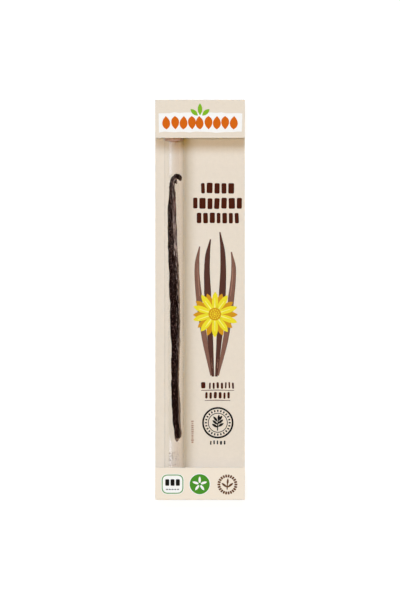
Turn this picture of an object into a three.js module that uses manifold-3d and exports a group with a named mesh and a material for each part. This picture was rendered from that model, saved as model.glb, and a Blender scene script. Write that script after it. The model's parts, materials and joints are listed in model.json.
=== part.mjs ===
// A vanilla pod in a stoppered glass tube, held in a flat folding carton.
// Millimetres. The pack lies on its back: X across it, Y towards its header, Z up out of the shown side.
import * as THREE from 'three';
import { mergeVertices } from 'three/addons/utils/BufferGeometryUtils.js';
import Module from 'manifold-3d';

const wasm = await Module();
wasm.setup();

// Carton: one sheet of board, folded into a back panel with a hollow header and a hollow footer.
const packWidth = 49.35;
const packHeight = 220;
const packDepth = 14;
const boardThickness = 0.5;
const foldRadius = 1.0;
const foldSegments = 4;
const headerHeight = 21.1;
const footerHeight = 17.7;
const headerEdgeY = packHeight / 2 - headerHeight;
const footerEdgeY = -packHeight / 2 + footerHeight;
const clearance = 0.3;

// Stopper: a head inside the header, over a tapered plug whose end shows through the glass below it.
const tubeX = -14.28;
const tubeZ = packDepth / 2;
const headRadius = 5.7;
const headHeight = 5;
const headChamfer = 0.4;
const headBaseY = headerEdgeY + 4.1;
const plugTopRadius = 4.6;
const plugEndRadius = 4.4;
const plugEndY = headerEdgeY - 1.7;

// Tube: glass with a round bottom and a fire-rounded lip.
const tubeRadius = 5.43;
const tubeWall = 0.5;
const tubeMouthY = headBaseY - clearance;
const tubeBottomY = -packHeight / 2 + boardThickness + clearance;
const bottomSegments = 7;
const lipSegments = 4;
const roundSides = 36;

// Pod: stations along its middle line from the hooked stem end to the blunt end, measured from the
// tube's axis, each with half the pod's width there.
const podStations = [
  { x: 3.15, y: 65.6, z: 0.1, half: 0.8 },
  { x: 3.05, y: 67.1, z: 0.1, half: 1.05 },
  { x: 1.8, y: 67.9, z: 0.0, half: 1.2 },
  { x: 0.25, y: 66.9, z: -0.1, half: 1.3 },
  { x: -0.85, y: 64.8, z: -0.3, half: 1.38 },
  { x: -1.18, y: 62.0, z: -0.5, half: 1.5 },
  { x: -1.1, y: 55.0, z: -0.9, half: 2.04 },
  { x: -1.2, y: 43.9, z: -1.2, half: 2.5 },
  { x: -0.64, y: 28.6, z: -1.4, half: 2.68 },
  { x: 0.15, y: 9.5, z: -1.4, half: 2.76 },
  { x: 0.72, y: -13.0, z: -1.4, half: 2.78 },
  { x: 0.86, y: -28.4, z: -1.3, half: 2.34 },
  { x: 0.66, y: -42.9, z: -1.0, half: 2.22 },
  { x: 1.0, y: -59.8, z: -0.6, half: 2.34 },
  { x: 1.65, y: -68.3, z: -0.3, half: 2.25 },
  { x: 2.25, y: -73.2, z: -0.1, half: 1.95 },
  { x: 2.4, y: -76.5, z: 0.0, half: 1.7 },
];
const podFlatness = 0.82;
const podRings = 76;
const podSides = 28;
const endCrowding = 0.6; // how much closer the rings stand at both ends
const endRounding = 0.6; // stations over which an end rounds off

// Wrinkles: ridges along the pod that wander round it, swell and fade, on low lumps.
const podRidges = 7;
const ridgeDepth = 0.09;
const ridgeMiddle = 0.6;
const podTwist = 1.6;
const wander = [{ depth: 0.35, waves: 9, shift: 0 }, { depth: 0.2, waves: 23, shift: 1 }];
const swell = { least: 0.65, more: 0.35, waves: 17, round: 2 };
const lumps = { depth: 0.025, waves: 31, shift: 1.7, turn: 4 };

// Spurs: the dried tongue curled in under the hook, and the thin tip beside the blunt end.
const hookSpur = [
  { x: -0.2, y: 66.1, z: -0.1, half: 0.9 },
  { x: 0.8, y: 65.1, z: 0.1, half: 0.8 },
  { x: 1.6, y: 64.0, z: 0.2, half: 0.45 },
];
const endSpur = [
  { x: 1.55, y: -73.2, z: -0.3, half: 1.1 },
  { x: 1.5, y: -75.9, z: -0.2, half: 0.95 },
  { x: 1.5, y: -78.0, z: -0.1, half: 0.75 },
];
const spurRings = 8;
const spurSides = 12;

const materials = {
  carton: new THREE.MeshStandardMaterial({ color: 0xe7dac9, roughness: 0.6, metalness: 0 }),
  tube: new THREE.MeshStandardMaterial({
    color: 0xf2f4f2, roughness: 0.05, metalness: 0, transparent: true, opacity: 0.25,
  }),
  stopper: new THREE.MeshStandardMaterial({ color: 0xc8b2a4, roughness: 0.45, metalness: 0 }),
  pod: new THREE.MeshStandardMaterial({ color: 0x2b1512, roughness: 0.35, metalness: 0 }),
};

// A closed mesh as a solid, for joining and cutting.
function solidOf(geometry) {
  const bare = geometry.clone();
  bare.deleteAttribute('normal');
  bare.deleteAttribute('uv');
  const merged = mergeVertices(bare, 1e-4);
  return new wasm.Manifold(new wasm.Mesh({
    numProp: 3,
    vertProperties: merged.attributes.position.array,
    triVerts: new Uint32Array(merged.index.array),
  }));
}

// The mesh of a solid.
function geometryOf(solid) {
  const mesh = solid.getMesh();
  const geometry = new THREE.BufferGeometry();
  geometry.setAttribute('position', new THREE.BufferAttribute(new Float32Array(mesh.vertProperties), 3));
  geometry.setIndex(new THREE.BufferAttribute(new Uint32Array(mesh.triVerts), 1));
  geometry.computeVertexNormals();
  return geometry;
}

// A side view, drawn as (z, y), given width along X and centred on x = 0.
function extrudeAcross(shape, width) {
  const geometry = new THREE.ExtrudeGeometry(shape, {
    depth: width, bevelEnabled: false, curveSegments: foldSegments,
  });
  return geometry.rotateY(-Math.PI / 2).translate(width / 2, 0, 0);
}

// The carton's outside in side view: panel, header and footer as one outline with folded corners.
function cartonOutline() {
  const end = packHeight / 2;
  const r = foldRadius;
  const shape = new THREE.Shape();
  shape.moveTo(boardThickness, headerEdgeY);
  shape.lineTo(packDepth - r, headerEdgeY);
  shape.absarc(packDepth - r, headerEdgeY + r, r, -Math.PI / 2, 0, false);
  shape.absarc(packDepth - r, end - r, r, 0, Math.PI / 2, false);
  shape.absarc(r, end - r, r, Math.PI / 2, Math.PI, false);
  shape.absarc(r, -end + r, r, Math.PI, Math.PI * 1.5, false);
  shape.absarc(packDepth - r, -end + r, r, -Math.PI / 2, 0, false);
  shape.absarc(packDepth - r, footerEdgeY - r, r, 0, Math.PI / 2, false);
  shape.lineTo(boardThickness, footerEdgeY);
  shape.closePath();
  return shape;
}

// The hollow of a header or footer that reaches from lowY to highY, in side view.
function hollowOutline(lowY, highY) {
  const t = boardThickness;
  const r = foldRadius;
  const corner = foldRadius - boardThickness;
  const shape = new THREE.Shape();
  shape.moveTo(r, lowY + t);
  shape.absarc(packDepth - r, lowY + r, corner, -Math.PI / 2, 0, false);
  shape.absarc(packDepth - r, highY - r, corner, 0, Math.PI / 2, false);
  shape.absarc(r, highY - r, corner, Math.PI / 2, Math.PI, false);
  shape.absarc(r, lowY + r, corner, Math.PI, Math.PI * 1.5, false);
  shape.closePath();
  return shape;
}

// The round hole in a shelf: the header's lets the stopper's head through, the footer's holds the tube.
function shelfHole(radius, shelfY) {
  const geometry = new THREE.CylinderGeometry(radius, radius, boardThickness * 4, roundSides);
  return solidOf(geometry.translate(tubeX, shelfY, tubeZ));
}

function cartonGeometry() {
  const hollowWidth = packWidth - 2 * boardThickness;
  const headerHollow = extrudeAcross(hollowOutline(headerEdgeY, packHeight / 2), hollowWidth);
  const footerHollow = extrudeAcross(hollowOutline(-packHeight / 2, footerEdgeY), hollowWidth);
  const carton = solidOf(extrudeAcross(cartonOutline(), packWidth))
    .subtract(solidOf(headerHollow))
    .subtract(solidOf(footerHollow))
    .subtract(shelfHole(headRadius + clearance, headerEdgeY + boardThickness / 2))
    .subtract(shelfHole(tubeRadius + clearance, footerEdgeY - boardThickness / 2));
  return geometryOf(carton);
}

// Points of a quarter circle in a lathe profile, from its bottom on the axis out to the wall.
function roundBottom(radius) {
  const centreY = tubeBottomY + tubeRadius;
  return Array.from({ length: bottomSegments + 1 }, (_, i) => {
    const angle = (i / bottomSegments) * (Math.PI / 2);
    return new THREE.Vector2(radius * Math.sin(angle), centreY - radius * Math.cos(angle));
  });
}

// Points of the half-round lip in a lathe profile, from the outer wall over to the bore.
function roundLip() {
  const half = tubeWall / 2;
  return Array.from({ length: lipSegments + 1 }, (_, i) => {
    const angle = (i / lipSegments) * Math.PI;
    return new THREE.Vector2(
      tubeRadius - half + half * Math.cos(angle),
      tubeMouthY - half + half * Math.sin(angle),
    );
  });
}

function tubeGeometry() {
  const profile = [
    ...roundBottom(tubeRadius),
    ...roundLip(),
    ...roundBottom(tubeRadius - tubeWall).reverse(),
  ];
  return new THREE.LatheGeometry(profile, roundSides).translate(tubeX, 0, tubeZ);
}

function stopperGeometry() {
  const headTopY = headBaseY + headHeight;
  const profile = [
    [0, plugEndY],
    [plugEndRadius, plugEndY],
    [plugTopRadius, headBaseY],
    [headRadius, headBaseY],
    [headRadius, headTopY - headChamfer],
    [headRadius - headChamfer, headTopY],
    [0, headTopY],
  ].map(([radius, y]) => new THREE.Vector2(radius, y));
  return new THREE.LatheGeometry(profile, roundSides).translate(tubeX, 0, tubeZ);
}

// How far the wrinkled skin stands from a smooth oval, as a share of the radius there.
function wrinkledSkin(angle, along) {
  const strays = wander.map(({ depth, waves, shift }) => depth * Math.sin(waves * along + shift));
  const turn = strays.reduce((total, stray) => total + stray, podTwist * along);
  const strength = swell.least + swell.more * Math.sin(swell.waves * along + swell.round * Math.sin(angle));
  const ridge = Math.abs(Math.cos((podRidges / 2) * angle + turn)) - ridgeMiddle;
  const lump = Math.sin(lumps.waves * along + lumps.shift) * Math.cos(angle + lumps.turn * along);
  return 1 + ridgeDepth * strength * ridge + lumps.depth * lump;
}

// A closed body of rings about the stations' curve, rounded off at both ends.
function bodyAlong(stations, rings, sides, skin) {
  const curve = new THREE.CatmullRomCurve3(stations.map((s) => new THREE.Vector3(s.x, s.y, s.z)));
  const widths = new THREE.SplineCurve(stations.map((s, i) => new THREE.Vector2(i, s.half)));
  const up = new THREE.Vector3(0, 0, 1);
  const spans = stations.length - 1;
  const positions = [];
  for (let i = 0; i <= rings; i += 1) {
    const even = i / rings;
    const share = even - endCrowding * Math.sin(2 * Math.PI * even) / (2 * Math.PI);
    const centre = curve.getPoint(share);
    if (i === 0 || i === rings) {
      positions.push(centre.x, centre.y, centre.z);
      continue;
    }
    const across = curve.getTangent(share).cross(up).normalize();
    const fromEnd = Math.min(1, Math.min(share, 1 - share) * spans / endRounding);
    const half = widths.getPoint(share).y * Math.sqrt(1 - (1 - fromEnd) ** 2);
    for (let j = 0; j < sides; j += 1) {
      const angle = (j / sides) * Math.PI * 2;
      const radius = half * skin(angle, share);
      const point = centre.clone()
        .addScaledVector(across, radius * Math.cos(angle))
        .addScaledVector(up, radius * podFlatness * Math.sin(angle));
      positions.push(point.x, point.y, point.z);
    }
  }
  const geometry = new THREE.BufferGeometry();
  geometry.setAttribute('position', new THREE.Float32BufferAttribute(positions, 3));
  geometry.setIndex(ringFaces(rings, sides));
  return geometry;
}

// Faces over a first point, the rings between, and a last point.
function ringFaces(rings, sides) {
  const faces = [];
  const last = 1 + (rings - 1) * sides;
  const at = (ring, j) => 1 + (ring - 1) * sides + (j % sides);
  for (let j = 0; j < sides; j += 1) {
    faces.push(0, at(1, j), at(1, j + 1));
    faces.push(last, at(rings - 1, j + 1), at(rings - 1, j));
    for (let ring = 1; ring < rings - 1; ring += 1) {
      faces.push(at(ring, j), at(ring + 1, j), at(ring, j + 1));
      faces.push(at(ring + 1, j), at(ring + 1, j + 1), at(ring, j + 1));
    }
  }
  return faces;
}

function podGeometry() {
  const smoothSkin = () => 1;
  const pod = solidOf(bodyAlong(podStations, podRings, podSides, wrinkledSkin))
    .add(solidOf(bodyAlong(hookSpur, spurRings, spurSides, smoothSkin)))
    .add(solidOf(bodyAlong(endSpur, spurRings, spurSides, smoothSkin)));
  return geometryOf(pod).translate(tubeX, 0, tubeZ);
}

function meshOf(name, geometry) {
  const mesh = new THREE.Mesh(geometry, materials[name]);
  mesh.name = name;
  return mesh;
}

const pack = new THREE.Group();
pack.add(
  meshOf('carton', cartonGeometry()),
  meshOf('tube', tubeGeometry()),
  meshOf('stopper', stopperGeometry()),
  meshOf('pod', podGeometry()),
);

export default pack;
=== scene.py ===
# Vanilla pod in a stoppered glass tube on a folded card pack.
# Everything is in metres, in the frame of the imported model:
# +Y to the header, +Z up out of the shown side.
import json
import math
import random

import bmesh
import bpy
from mathutils import Matrix, Vector

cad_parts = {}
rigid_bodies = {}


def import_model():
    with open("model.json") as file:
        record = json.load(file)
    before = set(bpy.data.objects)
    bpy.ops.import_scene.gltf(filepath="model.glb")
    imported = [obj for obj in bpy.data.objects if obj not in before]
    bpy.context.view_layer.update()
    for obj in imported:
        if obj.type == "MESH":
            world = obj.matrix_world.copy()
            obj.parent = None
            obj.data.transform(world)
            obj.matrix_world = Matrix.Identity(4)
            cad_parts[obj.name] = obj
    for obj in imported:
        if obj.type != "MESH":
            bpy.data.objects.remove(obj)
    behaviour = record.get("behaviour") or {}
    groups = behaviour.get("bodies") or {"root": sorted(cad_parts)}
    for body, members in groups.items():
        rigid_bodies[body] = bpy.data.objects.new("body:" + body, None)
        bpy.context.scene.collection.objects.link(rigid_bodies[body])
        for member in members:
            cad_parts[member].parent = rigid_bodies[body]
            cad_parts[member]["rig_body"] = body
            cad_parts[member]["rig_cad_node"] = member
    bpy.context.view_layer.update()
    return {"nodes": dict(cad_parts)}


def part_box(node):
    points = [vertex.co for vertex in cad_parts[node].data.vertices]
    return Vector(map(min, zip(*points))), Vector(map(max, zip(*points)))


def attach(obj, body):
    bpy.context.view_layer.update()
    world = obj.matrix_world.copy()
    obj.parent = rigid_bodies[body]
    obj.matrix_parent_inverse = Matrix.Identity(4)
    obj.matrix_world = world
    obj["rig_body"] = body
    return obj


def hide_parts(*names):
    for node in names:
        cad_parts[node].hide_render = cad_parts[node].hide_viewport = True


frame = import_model()
mm = 0.001
chance = random.Random(7)
print("frame loaded:", sorted(frame["nodes"]))

# ---- small helpers for shaders ----


def linear(red, green, blue):  # a colour as seen on screen, 0 to 255, to scene values
    def channel(value):
        value /= 255
        return value / 12.92 if value <= 0.04045 else ((value + 0.055) / 1.055) ** 2.4

    return (channel(red), channel(green), channel(blue), 1)


def scaled(colour, share):
    return (*(min(1, part * share) for part in colour[:3]), 1)


def newGroup(name, inputs, outputs):
    group = bpy.data.node_groups.new(name, "ShaderNodeTree")
    for socketName, value in inputs.items():
        socket = group.interface.new_socket(socketName, in_out="INPUT", socket_type="NodeSocketFloat")
        socket.default_value = value
    for socketName in outputs:
        group.interface.new_socket(socketName, in_out="OUTPUT", socket_type="NodeSocketFloat")
    return group, group.nodes.new("NodeGroupInput"), group.nodes.new("NodeGroupOutput")


def addMath(tree, operation, first, second=None):
    node = tree.nodes.new("ShaderNodeMath")
    node.operation = operation
    for socket, value in zip(node.inputs, (first, second)):
        if hasattr(value, "is_linked"):
            tree.links.new(value, socket)
        elif value is not None:
            socket.default_value = value
    return node.outputs[0]


def addNoise(tree, vector, scale, detail=4, roughness=0.55):
    node = tree.nodes.new("ShaderNodeTexNoise")
    node.inputs["Scale"].default_value = scale
    node.inputs["Detail"].default_value = detail
    node.inputs["Roughness"].default_value = roughness
    tree.links.new(vector, node.inputs["Vector"])
    return node.outputs["Fac"]


def addStretch(tree, vector, scale, turn=0.0):
    node = tree.nodes.new("ShaderNodeMapping")
    node.inputs["Scale"].default_value = scale
    node.inputs["Rotation"].default_value = (0, 0, turn)
    tree.links.new(vector, node.inputs["Vector"])
    return node.outputs["Vector"]


def newMaterial(name, roughness):
    material = bpy.data.materials.new(name)
    material.use_nodes = True
    tree = material.node_tree
    shader = tree.nodes["Principled BSDF"]
    shader.inputs["Roughness"].default_value = roughness
    return material, tree, shader


def mixColours(tree, factor, first, second, blend="MIX"):
    node = tree.nodes.new("ShaderNodeMix")
    node.data_type = "RGBA"
    node.blend_type = blend
    tree.links.new(factor, node.inputs["Factor"])
    for socket, value in ((node.inputs["A"], first), (node.inputs["B"], second)):
        if hasattr(value, "is_linked"):
            tree.links.new(value, socket)
        else:
            socket.default_value = value
    return node.outputs["Result"]


def addBump(tree, shader, height, distance, strength):
    node = tree.nodes.new("ShaderNodeBump")
    node.inputs["Distance"].default_value = distance
    node.inputs["Strength"].default_value = strength
    tree.links.new(height, node.inputs["Height"])
    tree.links.new(node.outputs["Normal"], shader.inputs["Normal"])


def addRange(tree, value, low, high, least=0.0, most=1.0):  # low becomes least, high becomes most
    node = tree.nodes.new("ShaderNodeMapRange")
    ends = (("From Min", low), ("From Max", high), ("To Min", least), ("To Max", most))
    for socketName, end in ends:
        node.inputs[socketName].default_value = end
    tree.links.new(value, node.inputs["Value"])
    return node.outputs["Result"]


def addRamp(tree, value, stops):  # colours along a line, from pairs of place and colour
    node = tree.nodes.new("ShaderNodeValToRGB")
    ramp = node.color_ramp.elements
    for count, (place, colour) in enumerate(stops):
        stop = ramp[count] if count < 2 else ramp.new(place)
        stop.position = place
        stop.color = (*colour, 1)
    tree.links.new(value, node.inputs["Fac"])
    return node.outputs["Color"]


def addPlace(tree, kind="Object"):
    return tree.nodes.new("ShaderNodeTexCoord").outputs[kind]


def addAxes(tree, place):  # X, Y and Z of a place
    split = tree.nodes.new("ShaderNodeSeparateXYZ")
    tree.links.new(place, split.inputs[0])
    return split.outputs


# ---- camera first, then floor, world and lamps ----

shot = {  # from far off, straight down on the pack
    "height": 8.0,
    "lens": 871.6,
    "low": 0.17 * mm,  # how far below the pack's middle it stands
}


def addCamera():
    bpy.ops.object.camera_add(location=(0, -shot["low"], shot["height"]), rotation=(0, 0, 0))
    camera = bpy.context.object
    camera.name = "shotCamera"
    camera.data.lens = shot["lens"]
    bpy.context.scene.camera = camera


studio = {
    "floorSize": 6,
    "floorGlow": (0.3, 0.85),  # into the glass, to the eye
    "floorTone": (0.3, 0.3, 0.3, 1),
    "floorRoughness": 0.9,
    "white": (1, 1, 1, 1),  # the floor's glow, and what the eye alone sees behind it
    "horizon": (0.37, 0.34, 0.22, 1),
    "zenith": (0.01, 0.01, 0.01, 1),
    "mirrored": [  # what the tube's far wall mirrors, from the left over the top to the right
        (0.0, (0.1, 0.1, 0.12)),
        (0.5, (0.5, 0.48, 0.6)),
        (0.74, (0.9, 0.9, 1.1)),
        (0.8, (2.4, 2.5, 3.2)),
        (0.92, (2.5, 2.6, 3.3)),
        (0.98, (2.3, 2.4, 3.0)),
    ],
    "fade": (0.25, 0.6),  # heights in the sky, as sines, between which the horizon's light fades
    "wallsPassed": 2.5,  # more than this: light that has gone through the near wall and back
    "lamps": [
        # name, direction it comes from, distance, across, along, watts, colour, for gloss alone
        ("keyBox", (0.0, 0.478, 1.0), 6.0, 2.0, 2.1, 204.0, (0.63, 0.79, 0.96), False),
        ("sideBox", (-0.45, 0.017, 1.0), 6.0, 3.5, 0.6, 163.0, (0.79, 0.86, 0.97), False),
        ("cornerBox", (-0.45, 0.478, 1.0), 6.0, 3.5, 2.1, 70.0, (0.52, 0.69, 1.0), False),
        ("topFill", (0.1, 0.017, 1.0), 6.0, 0.7, 0.7, 79.0, (1.0, 0.51, 0.0), False),
        ("lowBox", (0.0, -0.3, 1.0), 6.0, 2.0, 2.1, 27.0, (1.0, 0.83, 0.3), False),
        ("podStrip", (1.3, 0.0, 1.0), 1.2, 0.45, 1.4, 26.0, (1.0, 0.88, 0.84), True),
    ],
}


def addFloor():
    bpy.ops.mesh.primitive_plane_add(size=studio["floorSize"], location=(0, 0, 0))
    floor = bpy.context.object
    floor.name = "floor"
    material, tree, shader = newMaterial("paleFloor", studio["floorRoughness"])
    shader.inputs["Base Color"].default_value = studio["floorTone"]
    shader.inputs["Emission Color"].default_value = studio["white"]
    seen = tree.nodes.new("ShaderNodeLightPath").outputs["Is Camera Ray"]
    glow = addRange(tree, seen, 0, 1, *studio["floorGlow"])
    tree.links.new(glow, shader.inputs["Emission Strength"])
    floor.data.materials.append(material)


def addWorld():
    world = bpy.data.worlds.new("studioWorld")
    world.use_nodes = True
    tree = world.node_tree
    axes = addAxes(tree, addPlace(tree, "Generated"))
    path = tree.nodes.new("ShaderNodeLightPath").outputs
    mirrored = addRamp(tree, addRange(tree, axes["X"], -1, 1), studio["mirrored"])
    deep = addMath(tree, "GREATER_THAN", path["Transmission Depth"], studio["wallsPassed"])
    back = addMath(tree, "MULTIPLY", deep, path["Is Transmission Ray"])
    above = mixColours(tree, back, studio["zenith"], mirrored)
    sky = mixColours(tree, addRange(tree, axes["Z"], *studio["fade"]), studio["horizon"], above)
    seen = mixColours(tree, path["Is Camera Ray"], sky, studio["white"])
    tree.links.new(seen, tree.nodes["Background"].inputs["Color"])
    bpy.context.scene.world = world


def addLamps():
    for name, direction, distance, across, along, watts, colour, gloss in studio["lamps"]:
        towards = Vector(direction).normalized()
        bpy.ops.object.light_add(type="AREA", location=towards * distance)
        lamp = bpy.context.object
        lamp.name = name
        sideways = Vector((0, 1, 0)).cross(towards).normalized()
        upwards = towards.cross(sideways)
        lamp.rotation_euler = Matrix((sideways, upwards, towards)).transposed().to_euler()
        lamp.data.shape = "RECTANGLE"
        lamp.data.size = across
        lamp.data.size_y = along
        lamp.data.energy = watts
        lamp.data.color = colour
        lamp.visible_camera = lamp.visible_transmission = False
        lamp.visible_diffuse = not gloss
        lamp.visible_glossy = gloss


def passUnshaded(lampName, *pieces):  # this lamp shines through these pieces unweakened
    spared = bpy.data.collections.new(lampName + "Passes")
    for piece in pieces:
        spared.objects.link(piece)
    for entry in spared.collection_objects:
        entry.light_linking.link_state = "EXCLUDE"
    bpy.data.objects[lampName].light_linking.blocker_collection = spared


def lightOnly(lampName, piece):  # this lamp reaches this piece alone
    lit = bpy.data.collections.new(lampName + "Lights")
    lit.objects.link(piece)
    bpy.data.objects[lampName].light_linking.receiver_collection = lit


addCamera()
addFloor()
addWorld()
addLamps()
view = bpy.context.scene.view_settings
view.view_transform = "Standard"
view.look = "None"
print("camera, floor and lamps placed")

# ---- small helpers for working by hand ----


def pickOnly(*pieces):  # selects these objects and nothing else
    bpy.ops.object.select_all(action="DESELECT")
    for piece in pieces:
        piece.select_set(True)
    bpy.context.view_layer.objects.active = pieces[0]


def settle(piece):  # place, turn and size go into the mesh
    pickOnly(piece)
    bpy.ops.object.transform_apply(location=True, rotation=True, scale=True)


def openEdit(piece, kind="FACE", action="DESELECT"):
    pickOnly(piece)
    bpy.ops.object.mode_set(mode="EDIT")
    bpy.ops.mesh.select_mode(type=kind)
    bpy.ops.mesh.select_all(action=action)


def closeEdit():
    bpy.ops.object.mode_set(mode="OBJECT")


def pick(piece, kind, wanted):  # picks vertices, edges or faces by where they are
    bpy.ops.mesh.select_mode(type=kind)
    bpy.ops.mesh.select_all(action="DESELECT")
    mesh = bmesh.from_edit_mesh(piece.data)
    items = {"VERT": mesh.verts, "EDGE": mesh.edges, "FACE": mesh.faces}[kind]
    for item in items:
        if kind == "VERT":
            centre = item.co
        elif kind == "EDGE":
            centre = (item.verts[0].co + item.verts[1].co) / 2
        else:
            centre = item.calc_center_median()
        item.select = bool(wanted(item, centre))
    mesh.select_flush_mode()
    bmesh.update_edit_mesh(piece.data)


def near(a, b, slack=0.02 * mm):
    return abs(a - b) < slack


def extrudeBy(x, y, z):
    bpy.ops.mesh.extrude_region_move(TRANSFORM_OT_translate={"value": (x, y, z)})


def addPlate(width, height):  # flat, at the origin
    bpy.ops.mesh.primitive_plane_add(size=1, location=(0, 0, 0))
    plate = bpy.context.object
    plate.scale = (width, height, 1)
    settle(plate)
    return plate


def applyAll(piece):
    pickOnly(piece)
    for modifier in list(piece.modifiers):
        bpy.ops.object.modifier_apply(modifier=modifier.name)


def smoothBy(piece, degrees):  # round where the angle is low, and truly flat on the large faces
    pickOnly(piece)
    bpy.ops.object.shade_smooth_by_angle(angle=math.radians(degrees))
    flat = piece.modifiers.new("flat", "WEIGHTED_NORMAL")
    flat.keep_sharp = True
    applyAll(piece)


def joinPieces(name, pieces):
    pickOnly(*pieces)
    if len(pieces) > 1:
        bpy.ops.object.join()
    joined = bpy.context.view_layer.objects.active
    joined.name = name
    joined.data.name = name
    return joined


def finishPiece(piece, material, slotName, *nodes):
    if material:
        piece.data.materials.clear()
        piece.data.materials.append(material)
    if nodes:
        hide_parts(*nodes)
    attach(piece, "root")
    return piece


# ---- shared shader effects ----


def makePaperGrain():  # cloudy pulp with fine fibres lying both ways
    group, given, put = newGroup("paperGrain", {"Cloud": 0.5, "Fibre": 0.5}, ["Tone", "Relief"])
    place = addPlace(group)

    def swing(noise, strength):  # how far a noise is from its middle
        return addMath(group, "MULTIPLY", addMath(group, "SUBTRACT", noise, 0.5), strength)

    cloud = addNoise(group, place, 420, 5, 0.6)
    fleck = addNoise(group, place, 1500, 3, 0.5)
    along = addNoise(group, addStretch(group, place, (9, 1.1, 9), 0.35), 260, 3)
    crossing = addNoise(group, addStretch(group, place, (1.2, 8, 9), -0.5), 260, 3)
    fibre = addMath(group, "MULTIPLY", addMath(group, "ADD", along, crossing), 0.5)
    clouds = swing(cloud, given.outputs["Cloud"])
    threads = swing(fibre, given.outputs["Fibre"])
    total = addMath(group, "ADD", addMath(group, "ADD", clouds, threads), swing(fleck, 0.35))
    relief = addMath(group, "ADD", addMath(group, "MULTIPLY", fibre, 0.6), fleck)
    group.links.new(addMath(group, "ADD", total, 0.5), put.inputs["Tone"])
    group.links.new(relief, put.inputs["Relief"])
    return group


paperGrain = makePaperGrain()

paper = {
    "cloud": 0.9,
    "fibre": 0.9,
    "thrown": 0.72,  # share of its colour that it throws back on other things
    "thrownByFooter": 0.25,
    "bumps": 0.03 * mm,
    "gloss": 0.3,
}


def paperMaterial(name, colour, spread, roughness=0.62, relief=0.35, footerPaintedLight=None):
    material, tree, shader = newMaterial(name, roughness)
    grain = tree.nodes.new("ShaderNodeGroup")
    grain.node_tree = paperGrain
    grain.inputs["Cloud"].default_value = paper["cloud"]
    grain.inputs["Fibre"].default_value = paper["fibre"]
    dark, pale = scaled(colour, 1 - spread), scaled(colour, 1 + spread)
    tone = mixColours(tree, grain.outputs["Tone"], dark, pale)
    thrown = scaled(colour, paper["thrown"])
    if footerPaintedLight:  # painted light: the footer is made paler, for the brighter light that falls on it
        along = addAxes(tree, addPlace(tree))["Y"]
        inFooter = addMath(tree, "LESS_THAN", along, carton["paintedLightBelow"])
        tone = mixColours(tree, inFooter, tone, scaled(colour, footerPaintedLight))
        below = addMath(tree, "LESS_THAN", along, carton["dullBelow"])
        thrown = mixColours(tree, below, thrown, scaled(colour, paper["thrownByFooter"]))
    thrownOn = tree.nodes.new("ShaderNodeLightPath").outputs["Is Diffuse Ray"]
    tone = mixColours(tree, thrownOn, tone, thrown)
    tree.links.new(tone, shader.inputs["Base Color"])
    addBump(tree, shader, grain.outputs["Relief"], paper["bumps"], relief)
    shader.inputs["Specular IOR Level"].default_value = paper["gloss"]
    return material


carton = {
    "board": 0.5 * mm,
    "fold": 0.25 * mm,
    "foldSteps": 4,
    "header": 21.15 * mm,
    "footer": 17.7 * mm,
    "footerPaintedLight": 1.095,  # painted light: the footer is made this much paler, for the brighter light that falls on it
    "paintedLightBelow": -92.35 * mm,  # Y below which that painted light lifts its tone
    "dullBelow": -91.9 * mm,  # Y below which it throws back less
    "shelfGap": 0.08 * mm,  # between a shelf's raw end and the back panel
    "shelfLean": 0.15 * mm,  # the foot of a shelf stands this far under its hood
    "headerHole": 6.0 * mm,
    "footerHole": 5.75 * mm,
    "holeSides": 72,
    "edgeWear": 0.07 * mm,
    "wearSteps": 2,
    "flapSplit": 4.2 * mm,  # where the outer side flap ends above the back panel
    "flapGap": 0.1 * mm,
    "flapPlay": 0.02 * mm,  # between an outer and an inner flap
    "flapDrop": 3 * mm,  # how far an inner flap ends below an outer one
    "flapCorner": 1.2 * mm,
    "rawHeights": (0.3 * mm, 0.8 * mm),  # where the raw ends of the shelves are
}

boardTone = scaled(linear(232, 219, 202), 0.94)
boardFace = paperMaterial("boardFace", boardTone, 0.05, footerPaintedLight=carton["footerPaintedLight"])
boardEdge = paperMaterial("boardEdge", scaled(linear(222, 210, 194), 0.9), 0.12, 0.8, 0.8)
inkTones = {  # colour, and how far it varies
    "inkWhite": (scaled(linear(252, 250, 247), 0.9), 0.02),
    "inkOrange": (linear(208, 98, 18), 0.07),
    "inkGreen": (linear(126, 178, 40), 0.07),
    "inkLeafGreen": (linear(72, 140, 42), 0.07),
    "inkBrown": (linear(70, 26, 12), 0.08),
    "inkBlack": (linear(26, 22, 20), 0.08),
    "inkPodDark": (linear(84, 50, 42), 0.14),
    "inkPodLight": (linear(128, 90, 76), 0.14),
    "inkYellow": (linear(232, 216, 48), 0.06),
    "inkPale": (linear(244, 238, 128), 0.05),
    "inkOchre": (linear(206, 146, 30), 0.08),
    "inkPodLine": (linear(172, 128, 108), 0.08),
    "inkFaint": (linear(176, 138, 116), 0.08),
    "inkEarth": (linear(96, 58, 34), 0.08),
}
inks = {name: paperMaterial(name, *tone) for name, tone in inkTones.items()}
print("paper and inks mixed")

# ---- carton: one folded sheet with side flaps in its header and footer ----

cardLow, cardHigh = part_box("carton")
cardWidth = cardHigh.x - cardLow.x
cardHeight = cardHigh.y - cardLow.y
cardDepth = cardHigh.z
headerEdge = cardHigh.y - carton["header"]
footerEdge = cardLow.y + carton["footer"]
tubeLow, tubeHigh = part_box("tube")
tubeX = (tubeLow.x + tubeHigh.x) / 2
tubeZ = (tubeLow.z + tubeHigh.z) / 2
tubeRadius = (tubeHigh.x - tubeLow.x) / 2


def cutHole(piece, radius, y):
    bpy.ops.mesh.primitive_cylinder_add(
        vertices=carton["holeSides"],
        radius=radius,
        depth=8 * carton["board"],  # well through the shelf
        location=(tubeX, y, tubeZ),
        rotation=(math.pi / 2, 0, 0),
    )
    cutter = bpy.context.object
    hole = piece.modifiers.new("hole", "BOOLEAN")
    hole.object = cutter
    hole.operation = "DIFFERENCE"
    hole.solver = "EXACT"
    applyAll(piece)
    bpy.data.objects.remove(cutter)


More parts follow.
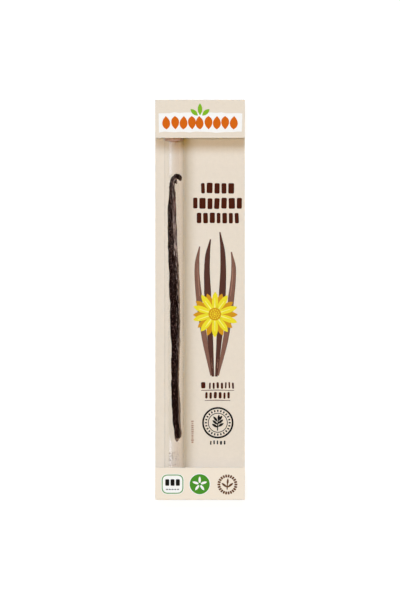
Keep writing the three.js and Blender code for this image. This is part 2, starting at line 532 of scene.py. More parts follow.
def wearEdges(piece):
    wear = piece.modifiers.new("wear", "BEVEL")
    wear.width = carton["edgeWear"]
    wear.segments = carton["wearSteps"]
    wear.limit_method = "ANGLE"
    wear.angle_limit = math.radians(50)
    applyAll(piece)


def foldSheet():
    sheet = addPlate(cardWidth, cardHeight)
    openEdit(sheet, "EDGE")
    shelf = cardDepth - carton["board"] - carton["shelfGap"]
    for side, hood in ((1, carton["header"]), (-1, carton["footer"])):
        pick(sheet, "EDGE", lambda edge, at: near(at.y, side * cardHeight / 2) and near(at.z, 0))
        extrudeBy(0, 0, cardDepth)
        extrudeBy(0, -side * hood, 0)
        extrudeBy(0, side * carton["shelfLean"], -shelf)
    closeEdit()
    wall = sheet.modifiers.new("board", "SOLIDIFY")
    wall.thickness = carton["board"]
    wall.offset = 1
    wall.use_even_offset = True
    applyAll(sheet)
    folds = [(side * cardHeight / 2, z) for side in (1, -1) for z in (0, cardDepth)]
    folds += [(headerEdge, cardDepth), (footerEdge, cardDepth)]
    openEdit(sheet, "EDGE")
    pick(sheet, "EDGE", lambda edge, at: any(near(at.y, y) and near(at.z, z) for y, z in folds))
    bpy.ops.mesh.bevel(offset=carton["fold"], segments=carton["foldSteps"], affect="EDGES")
    closeEdit()
    cutHole(sheet, carton["headerHole"], headerEdge)
    cutHole(sheet, carton["footerHole"], footerEdge)
    wearEdges(sheet)
    smoothBy(sheet, 40)
    return joinPieces("cardSheet", [sheet])


def paintEdges(piece, isRaw):  # raw board shows wherever the sheet was cut
    piece.data.materials.clear()
    piece.data.materials.append(boardFace)
    piece.data.materials.append(boardEdge)
    openEdit(piece)
    pick(piece, "FACE", isRaw)
    piece.active_material_index = 1
    bpy.ops.object.material_slot_assign()
    closeEdit()


def sideFlap(name, side, low, high, zLow, zHigh, inset):
    board = carton["board"]
    x = side * (cardWidth / 2 - board / 2 - inset)
    bpy.ops.mesh.primitive_cube_add(size=1, location=(x, (low + high) / 2, (zLow + zHigh) / 2))
    flap = bpy.context.object
    flap.scale = (board, high - low, zHigh - zLow)
    settle(flap)
    openEdit(flap, "EDGE")  # its free corners are cut back, as a die cuts them
    if inset == 0:
        pick(flap, "EDGE", lambda edge, at: near(at.x, x) and near(at.z, zLow))
        bpy.ops.mesh.bevel(offset=carton["flapCorner"], segments=5, affect="EDGES")
    closeEdit()
    wearEdges(flap)
    smoothBy(flap, 40)
    flap = joinPieces(name, [flap])
    paintEdges(flap, lambda face, at: abs(face.normal.x) < 0.6)
    return finishPiece(flap, None, "printed_board")


def isRawBoard(face, at):  # its cut sides, and the lower ends of its shelves
    low, high = carton["rawHeights"]
    return abs(face.normal.x) > 0.6 or (face.normal.z < -0.6 and low < at.z < high)


def makeCarton():
    sheet = foldSheet()
    paintEdges(sheet, isRawBoard)
    finishPiece(sheet, None, "printed_board", "carton")
    board = carton["board"]
    gap = board + carton["flapGap"]
    inner = gap + carton["shelfLean"]
    top = cardDepth - gap
    hoods = (
        ("header", headerEdge + inner, cardHigh.y - gap),
        ("footer", cardLow.y + gap, footerEdge - inner),
    )
    for hood, low, high in hoods:
        for side, hand in ((-1, "Left"), (1, "Right")):
            name = hood + hand
            sideFlap(name + "Outer", side, low, high, carton["flapSplit"], top, 0)
            inset = board + carton["flapPlay"]
            sideFlap(name + "Inner", side, low, high, gap, top - carton["flapDrop"], inset)


makeCarton()
print("carton folded")

# ---- tube: blown glass with a round bottom ----

glass = {
    "wall": 0.3 * mm,
    "sides": 96,
    "rings": 32,
    "lip": 0.15 * mm,
    "ior": 1.47,
    "tint": (0.995, 0.995, 0.99, 1),
    "clear": (1, 1, 1, 1),
    "shade": [  # what it lets through of the lamps, at millimetres to the right of its middle
        (-1.6, (1, 1, 1)),
        (0.0, (0.93, 0.86, 0.84)),
        (2.7, (0.9, 0.82, 0.8)),
        (4.4, (0, 0, 0)),
    ],
    "shadeByHeader": (0.44, 0.51, 0.52, 1),  # it lets at least this through near the header
    "headerReach": (80.0 * mm, 85.7 * mm),  # from where along it that starts, and where it is full
    "bends": 3.4 * mm,  # light that passes farther than this from its axis goes straight through
    "slack": 0.1 * mm**2,  # for light that passes at a slant
    "rimFrom": (0.6, 0.95),  # how far the wall is turned away where it starts to darken, and ends
    "rimTone": (0.99, 0.93),
}


def glassMaterial():
    material, tree, shader = newMaterial("clearGlass", 0.0)
    shader.inputs["Base Color"].default_value = glass["tint"]
    shader.inputs["IOR"].default_value = glass["ior"]
    shader.inputs["Transmission Weight"].default_value = 1
    path = tree.nodes.new("ShaderNodeLightPath").outputs
    turned = tree.nodes.new("ShaderNodeLayerWeight")
    turned.inputs["Blend"].default_value = 0.5
    facing = turned.outputs["Facing"]
    axes = addAxes(tree, addPlace(tree))
    across = addMath(tree, "SUBTRACT", axes["X"], tubeX)
    rise = addMath(tree, "SUBTRACT", axes["Z"], tubeZ)

    def clearShader(tone):
        node = tree.nodes.new("ShaderNodeBsdfTransparent")
        tree.links.new(tone, node.inputs["Color"])
        return node.outputs[0]

    def mixShaders(factor, first, second):
        node = tree.nodes.new("ShaderNodeMixShader")
        for socket, value in zip(node.inputs, (factor, first, second)):
            tree.links.new(value, socket)
        return node.outputs[0]

    # what reaches the things behind it
    stops = [(0.5 + x * mm / tubeRadius / 2, colour) for x, colour in glass["shade"]]
    shade = addRamp(tree, addRange(tree, across, -tubeRadius, tubeRadius), stops)
    byHeader = addRange(tree, axes["Y"], *glass["headerReach"])
    byHeader.node.interpolation_type = "SMOOTHSTEP"
    shade = mixColours(tree, byHeader, shade, glass["shadeByHeader"], "LIGHTEN")
    through = clearShader(mixColours(tree, path["Is Shadow Ray"], glass["clear"], shade))
    # where it doesn't bend what is seen through it
    aside = addMath(tree, "MULTIPLY", across, across)
    fromAxis = addMath(tree, "ADD", aside, addMath(tree, "MULTIPLY", rise, rise))
    headOn = addMath(tree, "POWER", addMath(tree, "SUBTRACT", 1, facing), 2)
    passing = addMath(tree, "MULTIPLY", fromAxis, addMath(tree, "SUBTRACT", 1, headOn))
    nearest = addMath(tree, "MINIMUM", passing, addMath(tree, "ADD", aside, glass["slack"]))
    thin = addMath(tree, "GREATER_THAN", nearest, glass["bends"] ** 2)
    straight = clearShader(addRange(tree, facing, *glass["rimFrom"], *glass["rimTone"]))
    wall = mixShaders(thin, shader.outputs[0], straight)
    direct = addMath(tree, "MAXIMUM", path["Is Shadow Ray"], path["Is Diffuse Ray"])
    surface = mixShaders(direct, wall, through)
    tree.links.new(surface, tree.nodes["Material Output"].inputs["Surface"])
    return material


def blowTube():
    middle = tubeLow.y + tubeRadius  # where the round bottom meets the straight wall
    bpy.ops.mesh.primitive_uv_sphere_add(
        segments=glass["sides"],
        ring_count=glass["rings"],
        radius=tubeRadius,
        location=(tubeX, middle, tubeZ),
        rotation=(-math.pi / 2, 0, 0),
    )
    tube = bpy.context.object
    settle(tube)
    openEdit(tube)
    pick(tube, "FACE", lambda face, at: at.y > middle)
    bpy.ops.mesh.delete(type="FACE")
    pick(tube, "EDGE", lambda edge, at: len(edge.link_faces) == 1)
    extrudeBy(0, tubeHigh.y - middle, 0)
    closeEdit()
    wall = tube.modifiers.new("wall", "SOLIDIFY")
    wall.thickness = glass["wall"]
    wall.offset = -1
    wall.use_even_offset = True
    applyAll(tube)
    openEdit(tube, "EDGE")

    def isLip(edge, at):  # the two rims of the wall at its mouth
        level = all(near(vertex.co.y, tubeHigh.y) for vertex in edge.verts)
        return level and any(abs(face.normal.y) < 0.5 for face in edge.link_faces)

    pick(tube, "EDGE", isLip)
    bpy.ops.mesh.bevel(offset=glass["lip"], segments=5, affect="EDGES")
    closeEdit()
    smoothBy(tube, 60)
    return finishPiece(joinPieces("glassTube", [tube]), glassMaterial(), "clear_glass", "tube")


glassTube = blowTube()
print("tube blown")

# ---- stopper ----

stopper = {
    "sides": 72,
    "aboveMouth": 0.3 * mm,
    "rim": 1.4 * mm,  # plain band below the grip
    "rimRound": 0.3 * mm,
    "plug": 5.12 * mm,
    "plugTaper": 0.995,
    "core": (2.2 * mm, 0.55 * mm),  # radius and length
    "topLip": 1.3 * mm,  # round the dish in its top
    "dish": 1.0 * mm,
    "grooveDegrees": 5,
    "grooveInset": 0.06 * mm,
    "groove": 0.16 * mm,
    # its own tan, made darker in part as painted shade for the shade under the header
    "tanWithPaintedShade": (linear(176, 136, 114), linear(210, 174, 152)),
    "glow": 0.15,
    "glowReach": (1.0 * mm, 0.6 * mm, 0.4 * mm),
}


def stopperMaterial():
    material, tree, shader = newMaterial("stopperPlastic", 0.42)
    haze = addNoise(tree, addStretch(tree, addPlace(tree), (1, 0.3, 1)), 600, 4)
    tree.links.new(mixColours(tree, haze, *stopper["tanWithPaintedShade"]), shader.inputs["Base Color"])
    shader.inputs["Subsurface Weight"].default_value = stopper["glow"]
    shader.inputs["Subsurface Radius"].default_value = stopper["glowReach"]
    addBump(tree, shader, haze, 0.02 * mm, 0.3)
    return material


def mouldStopper():
    low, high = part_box("stopper")
    radius = (high.x - low.x) / 2
    base = tubeHigh.y + stopper["aboveMouth"]

    def isGroove(face, at):  # every other strip round the grip
        out = Vector((at.x - tubeX, 0, at.z - tubeZ))
        strip = math.degrees(math.atan2(out.z, out.x)) // stopper["grooveDegrees"]
        onGrip = at.y > base + stopper["rim"] and abs(face.normal.y) < 0.1
        return onGrip and out.length > radius - 0.2 * mm and int(strip) % 2 == 0

    def isRim(edge, at):  # sharp, level and at one of its ends
        first, second = (vertex.co for vertex in edge.verts)
        level = abs(first.y - second.y) < 0.01 * mm and (first - second).length > 0.3 * mm
        ends = ((base, 0.1 * mm), (low.y, 0.3 * mm), (high.y, 0.1 * mm))
        atEnd = any(near(at.y, y, slack) for y, slack in ends)
        return level and atEnd and len(edge.link_faces) == 2 and edge.calc_face_angle() > 1.2

    bpy.ops.mesh.primitive_cylinder_add(
        vertices=stopper["sides"],
        radius=radius,
        depth=high.y - base,
        location=(tubeX, (base + high.y) / 2, tubeZ),
        rotation=(-math.pi / 2, 0, 0),
    )
    piece = bpy.context.object
    settle(piece)
    openEdit(piece, "FACE", "SELECT")
    bpy.ops.mesh.bisect(plane_co=(tubeX, base + stopper["rim"], tubeZ), plane_no=(0, 1, 0))
    pick(piece, "FACE", lambda face, at: face.normal.y < -0.9)
    bpy.ops.mesh.inset(thickness=radius - stopper["plug"])
    extrudeBy(0, low.y - base, 0)
    taper = stopper["plugTaper"]
    bpy.ops.transform.resize(value=(taper, 1, taper), center_override=(tubeX, base, tubeZ))
    coreRadius, coreLength = stopper["core"]
    bpy.ops.mesh.inset(thickness=stopper["plug"] - coreRadius)
    extrudeBy(0, -coreLength, 0)
    pick(piece, "FACE", lambda face, at: face.normal.y > 0.9)
    bpy.ops.mesh.inset(thickness=stopper["topLip"])
    extrudeBy(0, -stopper["dish"], 0)
    pick(piece, "FACE", isGroove)
    bpy.ops.mesh.inset(thickness=stopper["grooveInset"], use_individual=True)
    bpy.ops.transform.shrink_fatten(value=-stopper["groove"])
    pick(piece, "EDGE", isRim)
    bpy.ops.mesh.bevel(offset=stopper["rimRound"], segments=4, affect="EDGES")
    closeEdit()
    smoothBy(piece, 35)
    return finishPiece(joinPieces("stopperPiece", [piece]), stopperMaterial(), "stopper", "stopper")


mouldStopper()
print("stopper moulded")

# ---- pod: the same body as its solid, with the wrinkled skin grown on it ----

pod = {
    "voxel": 0.165 * mm,
    "relax": 3,
    "lean": 0.026,  # in radians: the wrinkles follow the pod's own slant
    "furrows": [
        # noise size, how far it is drawn out along the pod, depth, contrast
        (1.2 * mm, 13, 0.8 * mm, 1.1),
        (0.6 * mm, 15, 0.42 * mm, 1.2),
        (0.33 * mm, 8, 0.16 * mm, 1.3),
    ],
    "lumps": (3.6 * mm, 1.8, 0.45 * mm, 1.0),
    "plump": -0.11 * mm,  # how far the wrinkled skin stands out from the smooth body on average
    "endPlump": 0.13 * mm,  # the same at the hook and at the lower tip
    "hookFrom": (55 * mm, 64 * mm),  # along it, where that starts and where it is full
    "tipFrom": (-71 * mm, -75.5 * mm),
    "relief": 0.45 * mm,  # from the deepest furrow to the highest ridge, for the colour
    "bore": 4.95 * mm,  # the pod stays inside this
    "skin": (linear(10, 3, 2), linear(32, 12, 8)),
    "russet": linear(96, 36, 22),
    "dots": linear(104, 80, 74),
    # painted sheen on the lit right flank
    "haze": linear(106, 86, 80),
    # painted light on the right flank, the side that faces the lamp
    "paintedFlankLight": linear(146, 122, 106),
    "dry": linear(158, 134, 126),
    # the neck's own paler tone, with painted sheen on its lit right side
    "neckToneAndSheen": linear(140, 112, 104),
    # painted highlights on the ridges of the lit right flank
    "paintedRidgeHighlights": linear(196, 172, 162),
    "tip": linear(140, 118, 106),
    "russetZone": (46 * mm, 50 * mm, 54 * mm, 57 * mm),  # start, full, fading and end along it
    "neckZone": (58 * mm, 61 * mm, 65 * mm, 67 * mm),
}


def podMaterial():
    material, tree, shader = newMaterial("podSkin", 0.5)
    place = addPlace(tree)
    along = addAxes(tree, place)["Y"]

    def spread(*values):
        return addRange(tree, *values)

    def both(*masks):
        total = masks[0]
        for mask in masks[1:]:
            total = addMath(tree, "MULTIPLY", total, mask)
        return total

    def zone(start, full, fading, end):
        return both(spread(along, start, full), spread(along, end, fading))

    def measured(name):  # a value kept on the mesh
        node = tree.nodes.new("ShaderNodeAttribute")
        node.attribute_name = name
        return node.outputs["Fac"]

    def drawn(share, scale, detail, roughness):  # noise drawn out along the pod
        return addNoise(tree, addStretch(tree, place, (1, share, 1)), scale, detail, roughness)

    ridge = measured("ridge")  # about 0 in the furrows, 1 on the ridge tops
    flank = measured("flank")  # -1 on the left flank, 1 on the right one, the lit side
    tint = drawn(0.06, 900, 5, 0.6)
    dashes = drawn(0.18, 1900, 3, 0.6)
    specks = drawn(0.45, 2600, 3, 0.6)
    grit = drawn(0.6, 1700, 2, 0.5)
    fine = drawn(0.12, 3200, 4, 0.7)

    # where each tone lies; those on the lit right flank are painted sheen and highlights
    litFlank = addMath(tree, "SUBTRACT", flank, spread(along, 24 * mm, 12 * mm, 0, 0.2))
    rightSide = both(spread(litFlank, 0.05, 0.36), spread(flank, 0.95, 0.6, 0.15, 1))
    paintedSheenZone = both(spread(along, 10 * mm, 42 * mm), spread(along, 60 * mm, 50 * mm, 0.1, 1))
    paintedFlankZone = both(spread(flank, 0.5, 0.85, 0, 0.85), spread(along, 34 * mm, 12 * mm, 0.2, 1))
    patchy = both(spread(dashes, 0.43, 0.54), spread(ridge, 0.25, 0.6))
    nearTip = spread(along, -50 * mm, -70 * mm, 0, 0.7)
    rightZone = addMath(tree, "MAXIMUM", spread(along, -45 * mm, 5 * mm, 0.06, 1), nearTip)
    rightZone = both(rightZone, spread(along, 24 * mm, 32 * mm, 1, 0.5))
    upper = spread(along, -15 * mm, 45 * mm)
    masks = {
        "russet": both(zone(*pod["russetZone"]), spread(flank, 0.1, 0.6)),
        "dots": both(spread(grit, 0.57, 0.63), spread(flank, 0.5, -0.2, 0, 0.75)),
        # painted sheen: paler specks on the lit right flank
        "haze": both(rightSide, paintedSheenZone, spread(specks, 0.38, 0.56, 0.25, 1)),
        # painted light: paler tone on the lit right flank
        "paintedFlankLight": both(paintedFlankZone, spread(dashes, 0.2, 0.5)),
        "dry": both(patchy, upper, spread(flank, 0.4, 0.05, 0, 0.15)),
        # the neck's tone, stronger on the lit right side as painted sheen
        "neckToneAndSheen": both(zone(*pod["neckZone"]), spread(flank, 0, 0.4, 0, 0.7), spread(dashes, 0.42, 0.52)),
        # painted highlights: bright patches on the ridges of the lit right side
        "paintedRidgeHighlights": both(patchy, rightSide, rightZone),
        "tip": spread(along, -75.8 * mm, -76.8 * mm, 0, 0.85),
    }
    skin = mixColours(tree, tint, *pod["skin"])
    for name, mask in masks.items():
        skin = mixColours(tree, mask, skin, pod[name])
    tree.links.new(skin, shader.inputs["Base Color"])
    shader.inputs["Specular IOR Level"].default_value = 0
    addBump(tree, shader, fine, 0.06 * mm, 0.6)
    waxZone = both(spread(along, -52 * mm, -10 * mm, 0.1, 1), spread(along, 24 * mm, 32 * mm, 1, 0.6))
    wax = both(spread(ridge, 0.35, 0.8), rightSide, spread(specks, 0.42, 0.54), waxZone)
    tree.links.new(wax, shader.inputs["Coat Weight"])
    shader.inputs["Coat Roughness"].default_value = 0.2
    return material


def furrow(piece, name, size, drawnOut, depth, contrast):
    bpy.ops.object.empty_add(location=(0, 0, 0))
    guide = bpy.context.object  # its size draws the noise out along the pod
    guide.scale = (size, size * drawnOut, size)
    guide.rotation_euler.z = pod["lean"]
    noise = bpy.data.textures.new(name, "CLOUDS")
    noise.noise_scale = 1.0
    noise.noise_depth = 2
    noise.noise_type = "HARD_NOISE" if name != "lumps" else "SOFT_NOISE"
    noise.contrast = contrast
    grow = piece.modifiers.new(name, "DISPLACE")
    grow.texture = noise
    grow.texture_coords = "OBJECT"
    grow.texture_coords_object = guide
    grow.strength = depth
    grow.mid_level = 0.5
    bpy.context.view_layer.update()
    applyAll(piece)
    bpy.data.objects.remove(guide)


def growPod():
    source = frame["nodes"]["pod"]
    piece = source.copy()
    piece.data = source.data.copy()
    bpy.context.scene.collection.objects.link(piece)
    piece.parent = None
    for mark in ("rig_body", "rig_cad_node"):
        del piece[mark]
    openEdit(piece, "VERT", "SELECT")
    bpy.ops.mesh.remove_doubles(threshold=0.001 * mm)
    closeEdit()
    skin = piece.modifiers.new("skin", "REMESH")
    skin.mode = "VOXEL"
    skin.voxel_size = pod["voxel"]
    relax = piece.modifiers.new("relax", "SMOOTH")
    relax.factor = 0.5
    relax.iterations = pod["relax"]
    applyAll(piece)
    furrow(piece, "lumps", *pod["lumps"])
    smooth = [(vertex.co.copy(), vertex.normal.copy()) for vertex in piece.data.vertices]
    for count, values in enumerate(pod["furrows"]):
        furrow(piece, "furrow%d" % count, *values)
    heights = [(vertex.co - at).dot(out) for vertex, (at, out) in zip(piece.data.vertices, smooth)]
    middle = sum(heights) / len(heights)
    paintedRidgeHighlights = [0.5 + (height - middle) / pod["relief"] for height in heights]
    for name, values in (("ridge", paintedRidgeHighlights), ("flank", [out.x for at, out in smooth])):
        piece.data.attributes.new(name, "FLOAT", "POINT").data.foreach_set("value", values)
    axis = Vector((tubeX, 0, tubeZ))
    for vertex, (at, out) in zip(piece.data.vertices, smooth):
        ends = (pod["hookFrom"], pod["tipFrom"])
        reach = max((at.y - start) / (end - start) for start, end in ends)
        plump = pod["plump"] + min(1, max(0, reach)) * (pod["endPlump"] - pod["plump"])
        vertex.co += out * (plump - middle)
        away = Vector((vertex.co.x, 0, vertex.co.z)) - axis
        if away.length > pod["bore"]:
            vertex.co -= away * (1 - pod["bore"] / away.length)
    smoothBy(piece, 180)
    print("pod faces:", len(piece.data.polygons), "mean height:", round(middle / mm, 3))
    return finishPiece(joinPieces("wrinkledPod", [piece]), podMaterial(), "pod", "pod")


crumbs = {
    "count": 30,
    "radius": (0.18 * mm, 0.34 * mm),
    "lie": 34,  # degrees to either side of the tube's lowest line
    "reach": (0.3 * mm, 9.0 * mm),  # above the footer
    "shape": (1, 1.3, 0.8),
    "tone": linear(180, 158, 146),
}


def dropSeeds():  # grains and crumbs of skin have fallen to the lower end of the tube
    grains = []
    for _ in range(crumbs["count"]):
        radius = chance.uniform(*crumbs["radius"])
        turn = math.radians(-90 + chance.uniform(-crumbs["lie"], crumbs["lie"]))
        reach = tubeRadius - glass["wall"] - radius
        y = footerEdge + chance.uniform(*crumbs["reach"])
        bpy.ops.mesh.primitive_ico_sphere_add(
            subdivisions=1,
            radius=radius,
            location=(tubeX + reach * math.cos(turn), y, tubeZ + reach * math.sin(turn)),
            rotation=(chance.uniform(0, 3), chance.uniform(0, 3), 0),
            scale=crumbs["shape"],
        )
        grains.append(bpy.context.object)
    seeds = joinPieces("fallenSeeds", grains)
    settle(seeds)
    return finishPiece(seeds, paperMaterial("crumbTan", crumbs["tone"], 0.12), "pod")


dropSeeds()
wrinkledPod = growPod()
lightOnly("podStrip", wrinkledPod)
passUnshaded("podStrip", glassTube)
for lampName in ("keyBox", "topFill", "lowBox"):
    passUnshaded(lampName, glassTube, wrinkledPod)
for lampName in ("sideBox", "cornerBox"):
    passUnshaded(lampName, wrinkledPod)
print("pod grown")

# ---- printed front: every ink is a thin layer lying on the board ----

printed = {
    "header": cardDepth,
    "panel": carton["board"],
    "footer": cardDepth,
    "panelSize": 0.9935,
    "layer": 0.02 * mm,
    "corner": 0.45,  # the rest of the print is given in millimetres
    "strokeFlat": 0.025,
}


def layDown(shape, x, y, degrees=0):  # to its place in the print, as thick as a layer of ink
    shape.rotation_euler.z = math.radians(degrees)
    shape.location = (x * mm, y * mm, 0)
    settle(shape)
    ink = shape.modifiers.new("ink", "SOLIDIFY")
    ink.thickness = printed["layer"]
    ink.offset = 1
    applyAll(shape)
    return shape


def around(x, y, reach, degrees):  # a point that lies this far from x, y, counted from the right
    angle = math.radians(degrees)
    return x + reach * math.cos(angle), y + reach * math.sin(angle)


def addBar(x, y, width, height, corner=printed["corner"], degrees=0):
    bar = addPlate(width * mm, height * mm)
    openEdit(bar, "VERT", "SELECT")
    reach = min(corner, 0.49 * min(width, height))
    bpy.ops.mesh.bevel(offset=reach * mm, segments=4, affect="VERTICES")
    closeEdit()
    return layDown(bar, x, y, degrees)


def addCircle(radius, sides):
    bpy.ops.mesh.primitive_circle_add(
        vertices=sides, radius=radius * mm, fill_type="NGON", location=(0, 0, 0)
    )
    return bpy.context.object


def addDisc(x, y, radius, sides=56):
    return layDown(addCircle(radius, sides), x, y)


def addRing(x, y, radius, width):
    ring = addCircle(radius, 72)
    openEdit(ring, "FACE", "SELECT")
    bpy.ops.mesh.inset(thickness=width * mm)
    bpy.ops.mesh.delete(type="FACE")
    closeEdit()
    return layDown(ring, x, y)


def addLeaf(x, y, length, width, degrees, belly=0.5):  # from its stalk end at x, y, up at 0 degrees
    bpy.ops.mesh.primitive_circle_add(vertices=4, radius=0.5, fill_type="NGON", location=(0, 0.5, 0))
    leaf = bpy.context.object
    settle(leaf)
    openEdit(leaf, "VERT")
    pick(leaf, "VERT", lambda vertex, at: abs(at.x) > 0.1)
    bpy.ops.transform.translate(value=(0, belly - 0.5, 0))
    bpy.ops.mesh.bevel(offset_type="PERCENT", offset_pct=80, segments=9, affect="VERTICES")
    closeEdit()
    leaf.scale = (width * mm, length * mm, 1)
    return layDown(leaf, x, y, degrees)


def addStroke(*points):  # a drawn line through (x, y, half width), rounded a little on top
    line = bpy.data.curves.new("stroke", "CURVE")
    line.dimensions = "3D"
    line.bevel_depth = mm
    line.bevel_resolution = 2
    line.use_fill_caps = True
    line.resolution_u = 8
    spline = line.splines.new("BEZIER")
    spline.bezier_points.add(len(points) - 1)
    for knot, (x, y, half) in zip(spline.bezier_points, points):
        knot.co = (x * mm, y * mm, 0)
        knot.radius = half
        knot.handle_left_type = knot.handle_right_type = "AUTO"
    stroke = bpy.data.objects.new("stroke", line)
    bpy.context.scene.collection.objects.link(stroke)
    pickOnly(stroke)
    bpy.ops.object.convert(target="MESH")
    stroke = bpy.context.object
    stroke.scale.z = printed["strokeFlat"]
    settle(stroke)
    return stroke


def pressInk(name, ink, area, parts, level=0):
    piece = joinPieces(name, parts)
    piece.location.z = printed[area] + level * printed["layer"]
    if area == "panel":
        piece.scale = (printed["panelSize"], printed["panelSize"], 1)
    settle(piece)
    openEdit(piece, "FACE", "SELECT")
    bpy.ops.mesh.normals_make_consistent(inside=False)
    closeEdit()
    return finishPiece(piece, inks[ink], "printed_board")


def roughBar(x, y, width, height, steps, wander):  # a bar with uneven, hand-brushed edges
    bar = addPlate(width * mm, height * mm)
    openEdit(bar, "EDGE")
    pick(bar, "EDGE", lambda edge, at: near(at.x, 0))
    bpy.ops.mesh.subdivide(number_cuts=steps)
    closeEdit()
    for vertex in bar.data.vertices:
        vertex.co.x += chance.uniform(-0.3, 0.3) * mm
        vertex.co.y += chance.uniform(-wander, wander) * mm
    return layDown(bar, x, y)


def printHeader():
    pressInk("printBand", "inkWhite", "header", [roughBar(0.25, 97.4, 46.0, 10.6, 15, 0.35)])
    row = []
    for step in range(9):  # plump drops, turned up and down by turns
        x = -18.4 + step * 4.6
        up = step % 2 == 0
        tilt = chance.uniform(-4, 4)
        row.append(addLeaf(x, 93.6 if up else 101.0, 7.4, 8.2, tilt if up else 180 + tilt, 0.4))
    pressInk("printDrops", "inkOrange", "header", row, 1)
    sprig = [
        addLeaf(-1.2, 101.2, 5.4, 4.4, 48),
        addLeaf(0.0, 101.4, 6.6, 4.6, 0),
        addLeaf(1.2, 101.2, 5.4, 4.4, -48),
    ]
    pressInk("printSprig", "inkGreen", "header", sprig, 2)


words = {
    "rows": [  # left, right, low, high and how many blocks
        (0.6, 18.9, 58.9, 64.7, 5),
        (-3.8, 23.2, 50.4, 56.4, 7),
        (-1.8, 21.5, 42.3, 48.1, 7),
        (0.6, 3.0, -49.3, -45.8, 1),
        (5.0, 18.8, -49.3, -45.8, 7),
        (2.9, 16.5, -54.8, -51.2, 6),
    ],
    "underlines": [  # through (x, y, half width)
        [(0.6, -50.3, 0.16), (9, -50.1, 0.22), (18.9, -50.3, 0.14)],
        [(2.6, -55.9, 0.15), (9, -55.7, 0.22), (16.8, -55.9, 0.14)],
    ],
    "shares": (0.8, 1.3),
    "gap": 1.05,
    "corner": 0.7,
    "lift": 0.2,
    "tilt": 3,
}


def blockWord(left, right, low, high, count):  # a word as a row of plain blocks
    shares = [chance.uniform(*words["shares"]) for _ in range(count)]
    room = (right - left - words["gap"] * (count - 1)) / sum(shares)
    blocks = []
    x = left
    for share in shares:
        width = share * room
        y = (low + high) / 2 + chance.uniform(-words["lift"], words["lift"])
        tilt = chance.uniform(-words["tilt"], words["tilt"])
        blocks.append(addBar(x + width / 2, y, width, high - low, words["corner"], tilt))
        x += width + words["gap"]
    return blocks


def printWords():
    blocks = [block for row in words["rows"] for block in blockWord(*row)]
    lines = [addStroke(*points) for points in words["underlines"]]
    pressInk("printWords", "inkBrown", "panel", blocks + lines)
    small = []
    for step in range(11):
        y = -79.0 + step * 1.16
        small.append(addBar(-4.2, y, chance.uniform(1.1, 1.6), chance.uniform(0.55, 0.85), 0.2))
    pressInk("printSmallColumn", "inkFaint", "panel", small)


blades = {  # ink of each layer, and its lines through (x, y, half width)
    "printBladesBack": ("inkPodLight", [
        [(6.4, -42.0, 0.7), (2.6, -22, 1.5), (-0.6, 2, 1.7), (-1.6, 20, 1.3), (-0.2, 29.5, 0.35)],
        [(9.8, -42.0, 0.7), (14.2, -22, 1.5), (17.4, 2, 1.7), (18.6, 18, 1.3), (17.4, 26.5, 0.35)],
    ]),
    "printBladesFront": ("inkPodDark", [
        [(7.2, -42.6, 0.7), (5.6, -20, 1.6), (4.2, 4, 1.9), (4.2, 24, 1.4), (5.8, 33.5, 0.35)],
        [(9.0, -42.6, 0.7), (10.8, -20, 1.6), (12.4, 4, 1.9), (12.6, 26, 1.4), (11.0, 37.5, 0.35)],
    ]),
    "printBladeLines": ("inkPodLine", [
        [(5.2, -16, 0.12), (4.4, 2, 0.24), (4.2, 16, 0.24), (4.8, 27, 0.12)],
        [(11.2, -16, 0.12), (12.2, 2, 0.24), (12.6, 18, 0.24), (12.0, 30, 0.12)],
        [(-0.2, 2, 0.12), (-1.0, 12, 0.2), (-1.1, 20, 0.12)],
        [(16.9, 2, 0.12), (18.0, 12, 0.2), (18.2, 18, 0.12)],
        [(6.8, -38, 0.12), (6.1, -30, 0.24), (5.6, -24, 0.12)],
        [(9.6, -38, 0.12), (10.2, -30, 0.24), (10.6, -24, 0.12)],
    ]),
}
daisy = {
    "middle": (8.2, -8.0),
    "petals": 10,
    "petalLength": (12.0, 13.4),
    "petalWidth": 6.4,
    "petalTilt": 3,
    # name, ink, first turn and level
    "layers": [("printPetalsUnder", "inkOchre", 18, 3), ("printPetalsOver", "inkYellow", 0, 4)],
    "streakStart": 3.6,
    "streakEnd": (8.4, 9.8),
    "heart": 3.5,
    "grainRings": [(1.25, 7), (2.4, 13)],  # radius and how many
}


def printPicture():
    for level, (name, (ink, lines)) in enumerate(blades.items()):
        pressInk(name, ink, "panel", [addStroke(*points) for points in lines], level)
    x, y = daisy["middle"]
    part = 360 / daisy["petals"]
    for name, ink, first, level in daisy["layers"]:
        petals = []
        for step in range(daisy["petals"]):
            length = chance.uniform(*daisy["petalLength"])
            turn = first + step * part + chance.uniform(-daisy["petalTilt"], daisy["petalTilt"])
            petals.append(addLeaf(x, y, length, daisy["petalWidth"], turn, 0.66))
        pressInk(name, ink, "panel", petals, level)
    streaks = []
    for step in range(daisy["petals"]):
        turn = step * part + 90
        start = around(x, y, daisy["streakStart"], turn)
        end = around(x, y, chance.uniform(*daisy["streakEnd"]), turn)
        streaks.append(addStroke((*start, 0.34), (*end, 0.12)))
    pressInk("printPetalLights", "inkPale", "panel", streaks, 5)
    pressInk("printHeart", "inkOchre", "panel", [addDisc(x, y, daisy["heart"], 32)], 6)
    grains = [addDisc(x, y, 0.5, 12)]
    for ring, count in daisy["grainRings"]:
        for step in range(count):
            grains.append(addDisc(*around(x, y, ring, step * 360 / count), 0.36, 10))
    pressInk("printHeartGrains", "inkYellow", "panel", grains, 7)


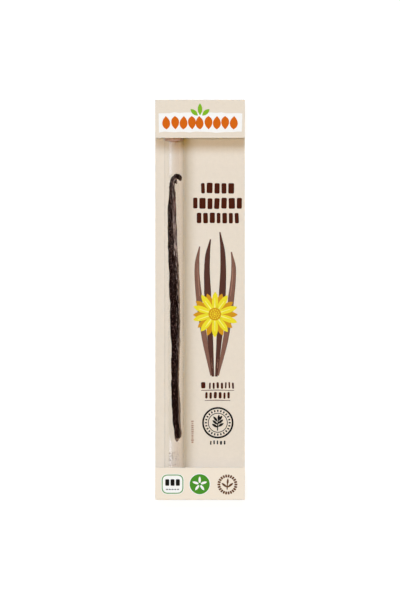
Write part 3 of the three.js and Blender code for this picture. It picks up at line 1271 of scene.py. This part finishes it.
def printSeal():
    x, y = 9.87, -68.2
    marks = [addRing(x, y, 8.7, 1.0), addRing(x, y, 5.5, 0.45)]
    for turn in range(0, 360, 15):
        marks.append(addBar(*around(x, y, 6.6, turn), 1.2, 0.8, 0.25, turn))
    marks.append(addStroke((x - 0.2, y - 4.4, 0.3), (x, y - 1, 0.35), (x + 0.4, y + 2.2, 0.2)))
    for lift, lean in ((-2.6, 58), (-1.0, 50), (0.6, 40)):
        marks.append(addLeaf(x - 0.1, y + lift, 3.8, 2.6, lean))
        marks.append(addLeaf(x + 0.1, y + lift + 0.4, 3.8, 2.6, -lean))
    marks.append(addLeaf(x + 0.3, y + 1.0, 3.6, 2.4, -6))
    marks += blockWord(5.6, 14.1, -80.3, -78.1, 5)
    pressInk("printSeal", "inkBlack", "panel", marks)


def printFooter():
    y = -101.4
    badgeX, discX, ringX = -15.1, -0.16, 15.06
    fields = [addBar(badgeX, y, 12.6, 11.2, 3.2), addDisc(discX, y, 5.9)]
    pressInk("printBadgeField", "inkWhite", "footer", fields)
    pressInk("printBadgeEdge", "inkLeafGreen", "footer", [addBar(badgeX, y, 11.9, 10.5, 2.9)], 1)
    pressInk("printBadgeInner", "inkWhite", "footer", [addBar(badgeX, y, 10.9, 9.5, 2.5)], 2)
    bars = [addBar(badgeX + 2.9 * step, y + 0.9, 2.2, 3.6, 0.5) for step in (-1, 0, 1)]
    bars += [addBar(badgeX + 1.5 * step, y - 2.9, 0.9, 0.6, 0.2) for step in (-2, -1, 0, 1, 2)]
    pressInk("printBadgeBars", "inkBlack", "footer", bars, 3)
    pressInk("printGreenDisc", "inkLeafGreen", "footer", [addDisc(discX, y, 5.5)], 1)
    blossom = [addLeaf(discX, y, 4.2, 2.5, step * 72, 0.6) for step in range(5)]
    pressInk("printDiscBlossom", "inkWhite", "footer", blossom, 2)
    pressInk("printDiscHeart", "inkLeafGreen", "footer", [addDisc(discX, y, 0.8, 20)], 3)
    ring = []
    for step in range(22):
        turn = step * 360 / 22
        ring.append(addBar(*around(ringX, y - 0.2, 4.7, turn), 1.6, 1.0, 0.25, turn))
    ring.append(addStroke((14.9, y - 3.0, 0.3), (15.0, y - 0.6, 0.34), (15.2, y + 1.4, 0.24)))
    for x, lift, length, width, lean in (
        (15.1, -1.9, 4.2, 2.2, 52),
        (15.0, -1.9, 4.2, 2.2, -52),
        (15.1, -0.4, 3.6, 2.1, -4),
    ):
        ring.append(addLeaf(x, y + lift, length, width, lean, 0.55))
    pressInk("printGrainRing", "inkEarth", "footer", ring)


printHeader()
printWords()
printPicture()
printSeal()
printFooter()
print("front printed")

bpy.context.view_layer.update()
